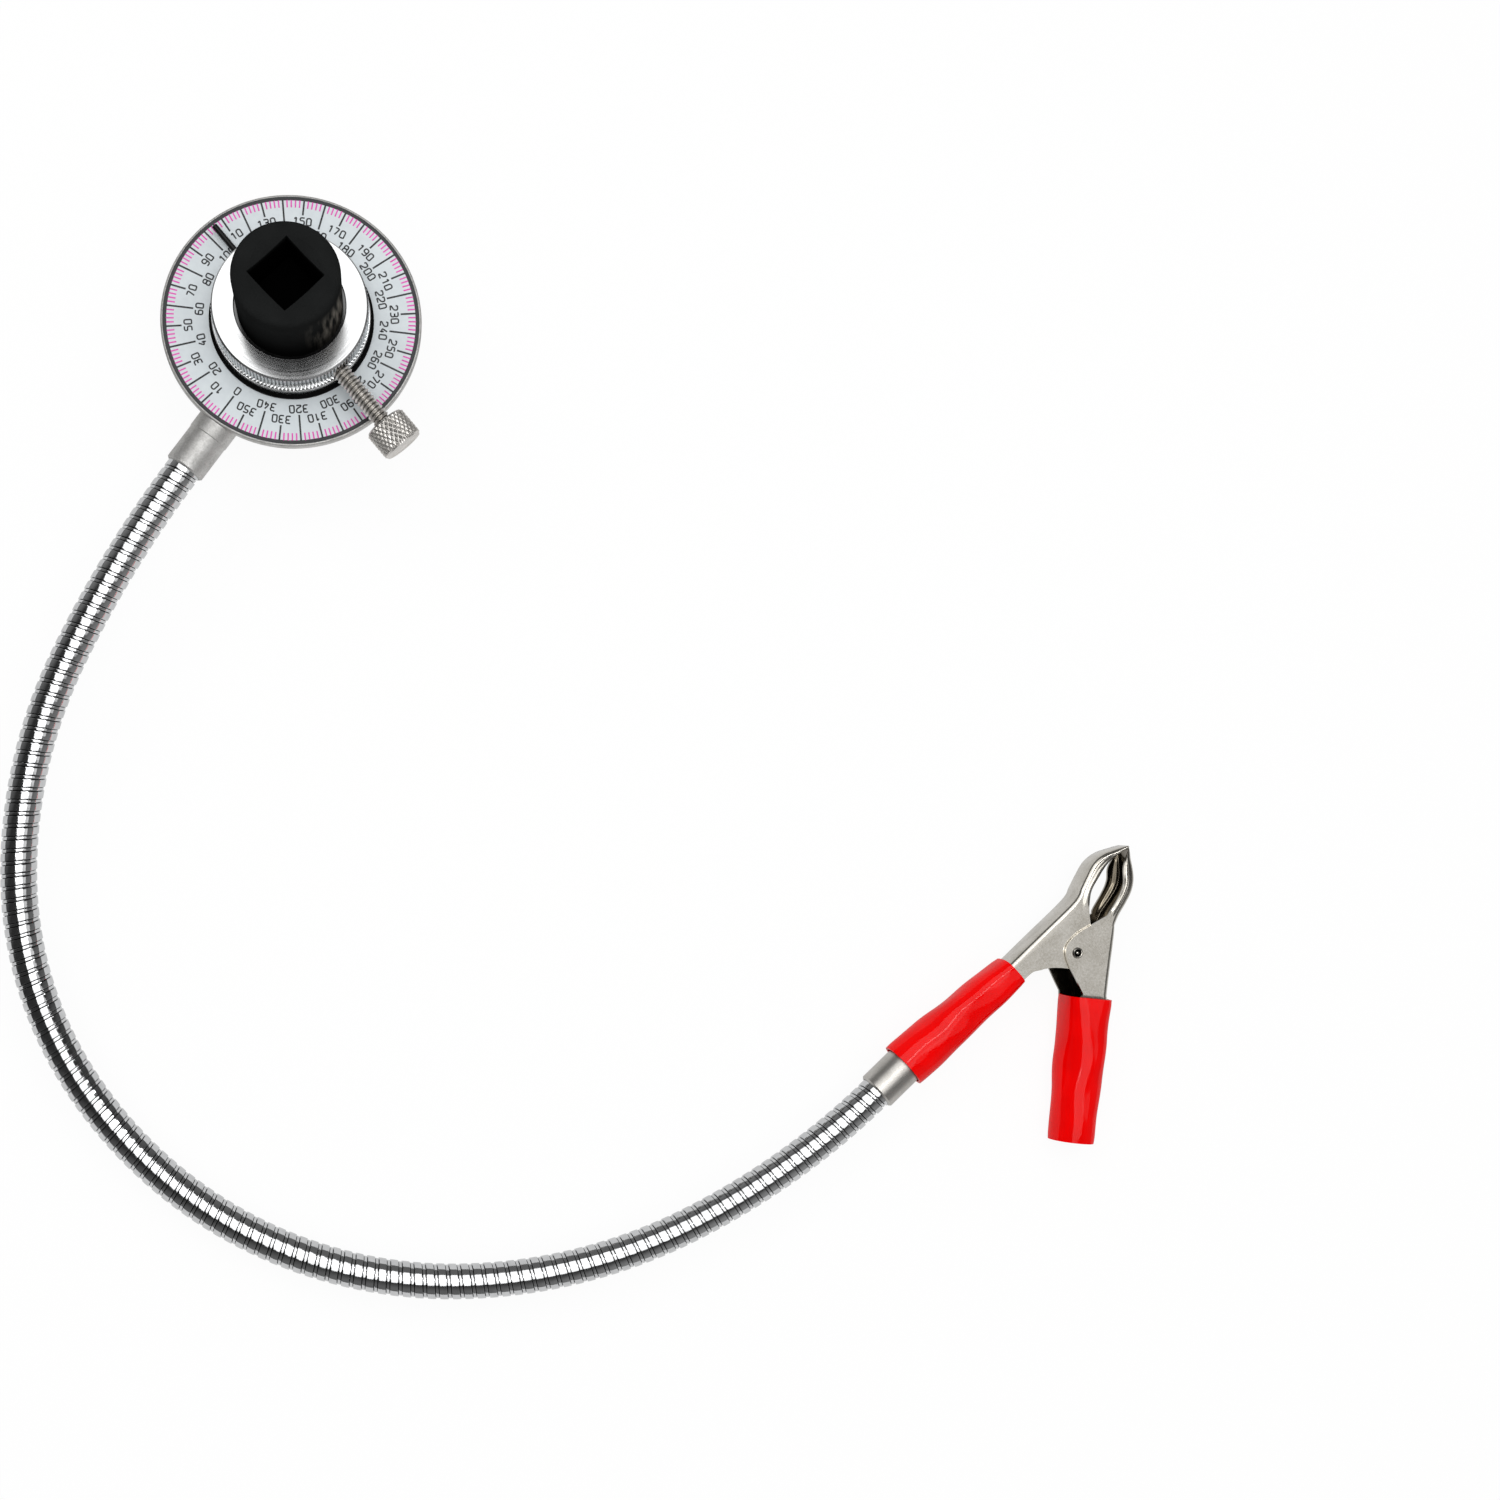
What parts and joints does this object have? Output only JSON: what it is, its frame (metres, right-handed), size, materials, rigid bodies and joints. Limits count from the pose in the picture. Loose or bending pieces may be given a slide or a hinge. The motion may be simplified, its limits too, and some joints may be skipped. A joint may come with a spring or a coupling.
{
  "type": "torque angle gauge",
  "caption": "Torque angle gauge: square drive turning in a printed degree dial, knurled pointer ring with clamp screw, and a bendable gooseneck ending in a spring clip.",
  "frame": {"origin": "centre of the end face of the male drive square, on the drive axis", "axes": "+Z along the drive axis, from the male square to the female square; the stem and the dial's zero mark point to -Y; +X completes the right-handed frame"},
  "size_m": [0.3234, 0.2277, 0.0727],
  "materials": {
    "black_phosphate_steel": "matte black phosphate, worn on the edges",
    "ball_steel": "polished bearing ball",
    "spring_wire": "drawn spring wire",
    "black_spring_steel": "oiled black spring steel",
    "bronze": "sintered bearing bronze",
    "blasted_zinc": "bead-blasted cast zinc",
    "printed_aluminium": "white scale plate with a printed degree scale",
    "black_acetal": "black moulded washer",
    "turned_aluminium": "bright turned and knurled",
    "black_oxide_rod": "black oxide",
    "brass": "turned brass",
    "nickel_steel": "nickel-plated, threaded and knurled",
    "chrome_hose": "bright chrome-plated strip winding",
    "satin_ferrule": "satin nickel",
    "plated_sheet": "nickel-plated stamped sheet",
    "plated_rivet": "nickel-plated tubular rivet",
    "red_vinyl": "glossy dipped red vinyl"
  },
  "bodies": {
    "dial": {"dial_housing": "blasted_zinc", "dial_plate": "printed_aluminium", "hub_bush": "bronze", "slip_washer": "black_acetal", "gooseneck_1": "chrome_hose"},
    "drive": {"drive_body": "black_phosphate_steel", "detent_spring": "spring_wire", "retaining_ring": "black_spring_steel", "thrust_washer": "bronze"},
    "detent": {"detent_ball": "ball_steel"},
    "ring": {"pointer_ring": "turned_aluminium", "pointer_rod": "black_oxide_rod"},
    "pad": {"clamp_pad": "brass"},
    "thumbscrew": {"thumbscrew_stud": "nickel_steel", "thumbscrew_head": "nickel_steel"},
    "neck_2": {"gooseneck_2": "chrome_hose"},
    "neck_3": {"gooseneck_3": "chrome_hose"},
    "neck_4": {"gooseneck_4": "chrome_hose"},
    "neck_5": {"gooseneck_5": "chrome_hose"},
    "neck_6": {"gooseneck_6": "chrome_hose"},
    "clip": {"gooseneck_7": "chrome_hose", "end_ferrule": "satin_ferrule", "fixed_jaw": "plated_sheet", "fixed_grip": "red_vinyl", "jaw_rivet": "plated_rivet", "torsion_spring": "spring_wire"},
    "jaw": {"moving_jaw": "plated_sheet", "moving_grip": "red_vinyl"}
  },
  "joints": [
    {"name": "drive_spin", "type": "hinge", "parent": "dial", "child": "drive", "pos_m": [0, 0, 0.03245], "axis": [0, 0, 1], "continuous": true},
    {"name": "ring_turn", "type": "hinge", "parent": "drive", "child": "ring", "pos_m": [0, 0, 0.0333], "axis": [0, 0, 1], "continuous": true},
    {"name": "thumbscrew_turn", "type": "hinge", "parent": "pad", "child": "thumbscrew", "pos_m": [0.03453, -0.00906, 0.03965], "axis": [0.9673, -0.2538, 0], "range_deg": [0, 1080]},
    {"name": "pad_slide", "type": "slide", "parent": "ring", "child": "pad", "axis": [0.9673, -0.2538, 0], "range_m": [0, 0.00317]},
    {"name": "detent_press", "type": "slide", "parent": "drive", "child": "detent", "axis": [-0.9829, 0.184, 0], "range_m": [0, 0.001], "stiffness_N_per_m": 1500, "springref_m": -0.001, "deforming": ["detent_spring"]},
    {"name": "neck_bend_1", "type": "hinge", "parent": "dial", "child": "neck_2", "pos_m": [0.00502, -0.10025, 0.02502], "axis": [-0.9833, -0.1822, 0], "range_deg": [-6, 24]},
    {"name": "neck_bend_2", "type": "hinge", "parent": "neck_2", "child": "neck_3", "pos_m": [0.02619, -0.15023, 0.01945], "axis": [0, 0, 1], "range_deg": [-24, 16]},
    {"name": "neck_bend_3", "type": "hinge", "parent": "neck_3", "child": "neck_4", "pos_m": [0.06873, -0.1834, 0.01381], "axis": [-0.3665, -0.9304, 0], "range_deg": [-6, 24]},
    {"name": "neck_bend_4", "type": "hinge", "parent": "neck_4", "child": "neck_5", "pos_m": [0.12269, -0.19025, 0.01195], "axis": [0, 0, 1], "range_deg": [-24, 16]},
    {"name": "neck_bend_5", "type": "hinge", "parent": "neck_5", "child": "neck_6", "pos_m": [0.17353, -0.17073, 0.01195], "axis": [0.5736, -0.8192, 0], "range_deg": [-6, 24]},
    {"name": "neck_bend_6", "type": "hinge", "parent": "neck_6", "child": "clip", "pos_m": [0.21354, -0.12669, 0.01195], "axis": [0, 0, 1], "range_deg": [-24, 16]},
    {"name": "jaw_open", "type": "hinge", "parent": "clip", "child": "jaw", "pos_m": [0.25641, -0.01251, 0.0108], "axis": [-0.1192, 0.0253, -0.9925], "range_deg": [0, 28], "stiffness_Nm_per_rad": 0.5, "springref_deg": -40.11, "deforming": ["torsion_spring"]}
  ],
  "couplings": [
    {"joint": "thumbscrew_turn", "follows": "pad_slide", "rad_per_m": 5938.7}
  ]
}
